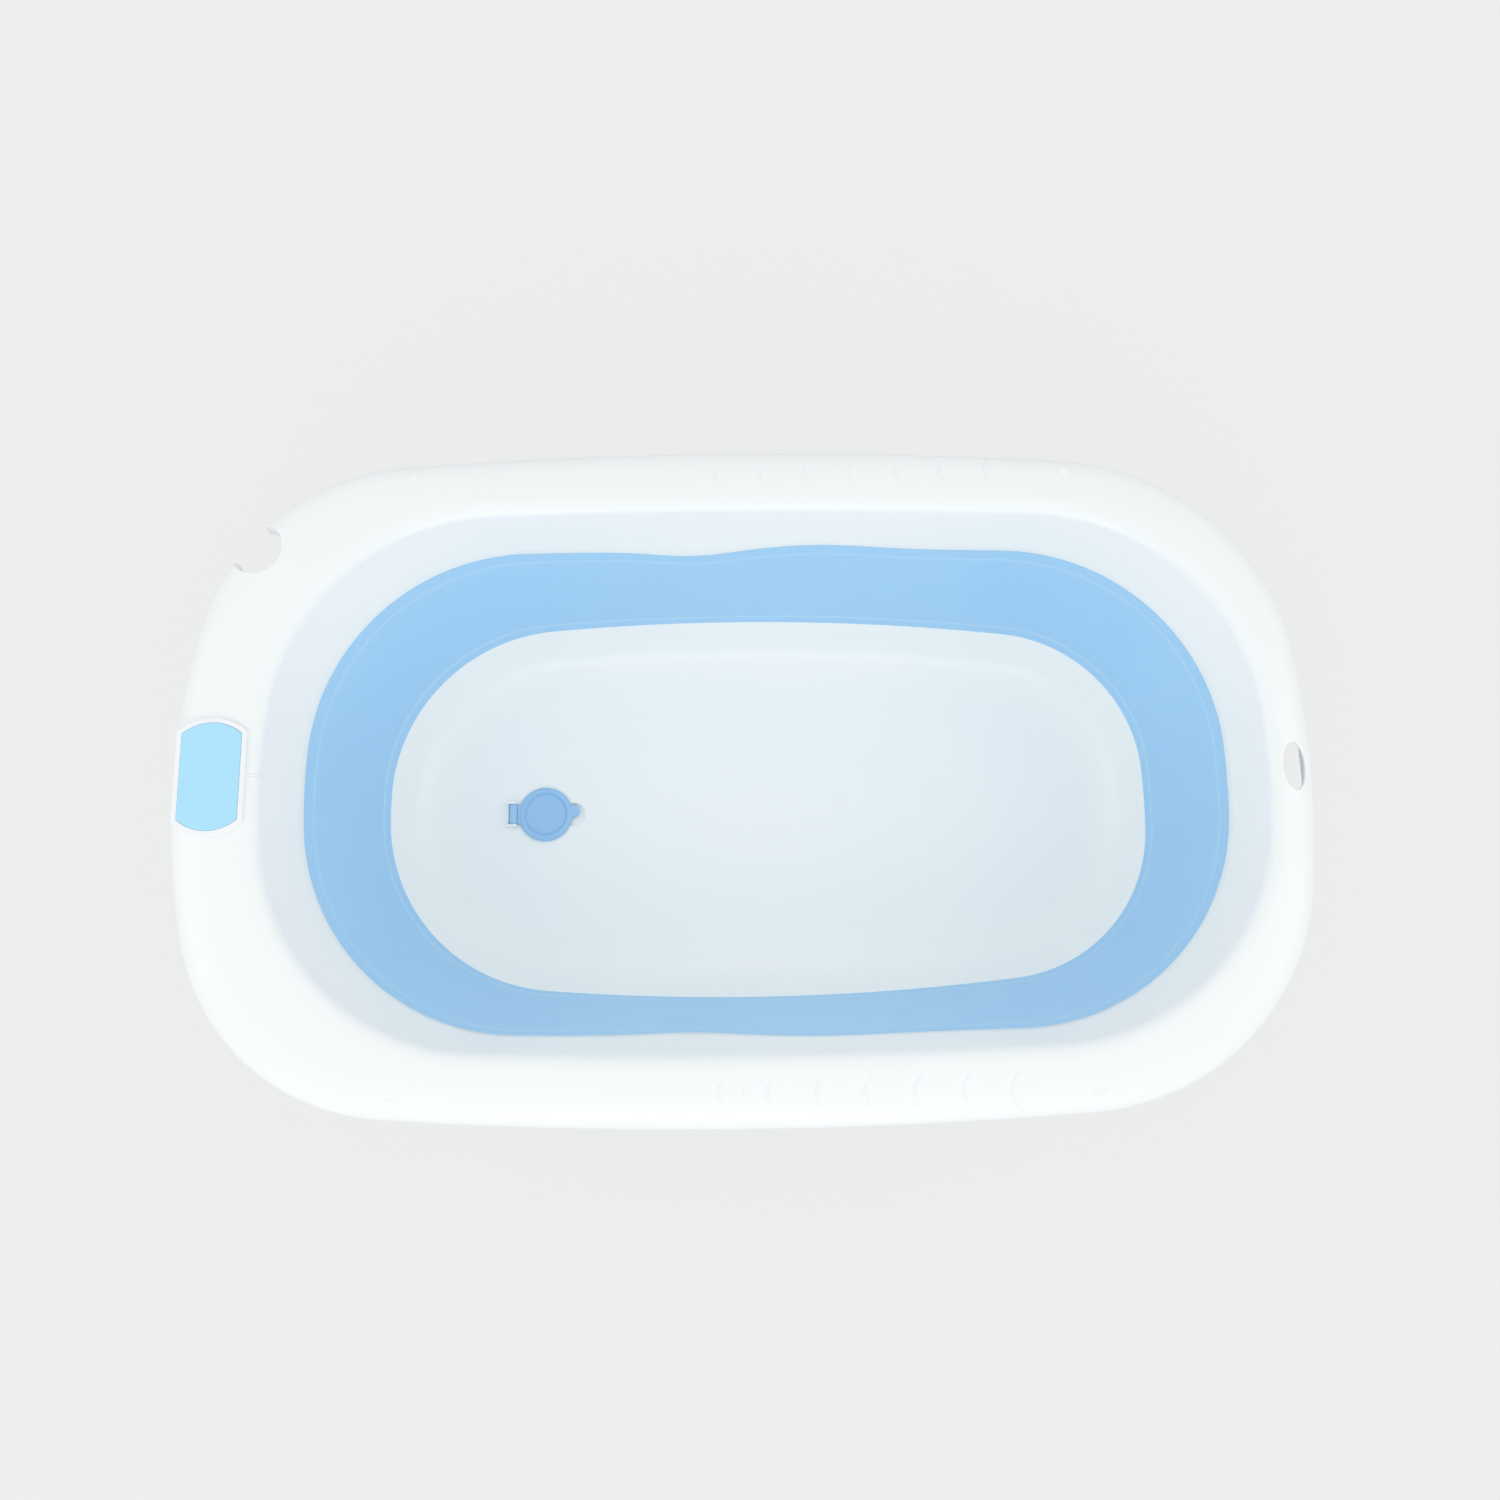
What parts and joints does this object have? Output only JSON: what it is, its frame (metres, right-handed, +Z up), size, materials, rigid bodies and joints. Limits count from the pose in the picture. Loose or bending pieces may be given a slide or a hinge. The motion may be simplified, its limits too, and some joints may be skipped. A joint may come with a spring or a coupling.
{
  "type": "folding baby bathtub",
  "caption": "Long oval baby bathtub with a hard rim, a soft folding wall, a hard base tray with a flip-up drain plug, and folding legs under the rim.",
  "frame": {"origin": "on the floor plane, under the middle of the rim", "axes": "+X along the tub to the bather's feet, -X to the head end with the pad, +Y across to the side with the shower holder, +Z up"},
  "size_m": [0.82, 0.494, 0.2173],
  "materials": {
    "rim_white": "satin white polypropylene",
    "tray_white": "satin white polypropylene",
    "soft_blue": "matt light blue thermoplastic elastomer",
    "plug_blue": "matt blue soft plug",
    "pin_plastic": "white acetal",
    "bezel_white": "satin white polypropylene",
    "inlay_blue": "matt pale blue soft pad",
    "leg_white": "satin white polypropylene",
    "foot_rubber": "matt blue anti-slip rubber",
    "bracket_white": "fine matt white plastic",
    "pin_steel": "turned stainless steel",
    "screw_steel": "zinc-plated steel"
  },
  "bodies": {
    "rim_frame": {"rim": "rim_white", "soft_wall": "soft_blue", "badge_bezel": "bezel_white", "badge_inlay": "inlay_blue", "bracket_screws": "screw_steel", "front_left_leg_bracket": "bracket_white", "front_left_leg_pin": "pin_steel", "front_right_leg_bracket": "bracket_white", "front_right_leg_pin": "pin_steel", "rear_left_leg_bracket": "bracket_white", "rear_left_leg_pin": "pin_steel", "rear_right_leg_bracket": "bracket_white", "rear_right_leg_pin": "pin_steel"},
    "tray": {"base_tray": "tray_white", "plug_hinge_pin": "pin_plastic"},
    "plug": {"drain_plug": "plug_blue"},
    "front_left_leg": {"front_left_leg": "leg_white", "front_left_foot": "foot_rubber"},
    "front_right_leg": {"front_right_leg": "leg_white", "front_right_foot": "foot_rubber"},
    "rear_left_leg": {"rear_left_leg": "leg_white", "rear_left_foot": "foot_rubber"},
    "rear_right_leg": {"rear_right_leg": "leg_white", "rear_right_foot": "foot_rubber"}
  },
  "joints": [
    {"name": "tray_collapse", "type": "slide", "parent": "rim_frame", "child": "tray", "axis": [0, 0, 1], "range_m": [0, 0.08], "deforming": ["soft_wall"]},
    {"name": "plug_flip", "type": "hinge", "parent": "tray", "child": "plug", "pos_m": [-0.1915, 0, 0.03455], "axis": [0, -1, 0], "range_deg": [0, 110]},
    {"name": "front_left_leg_fold", "type": "hinge", "parent": "rim_frame", "child": "front_left_leg", "pos_m": [-0.215, -0.21403, 0.182], "axis": [0, -1, 0], "range_deg": [0, 90]},
    {"name": "front_right_leg_fold", "type": "hinge", "parent": "rim_frame", "child": "front_right_leg", "pos_m": [0.215, -0.21403, 0.182], "axis": [0, 1, 0], "range_deg": [0, 90]},
    {"name": "rear_left_leg_fold", "type": "hinge", "parent": "rim_frame", "child": "rear_left_leg", "pos_m": [-0.215, 0.21403, 0.182], "axis": [0, -1, 0], "range_deg": [0, 90]},
    {"name": "rear_right_leg_fold", "type": "hinge", "parent": "rim_frame", "child": "rear_right_leg", "pos_m": [0.215, 0.21403, 0.182], "axis": [0, 1, 0], "range_deg": [0, 90]}
  ]
}
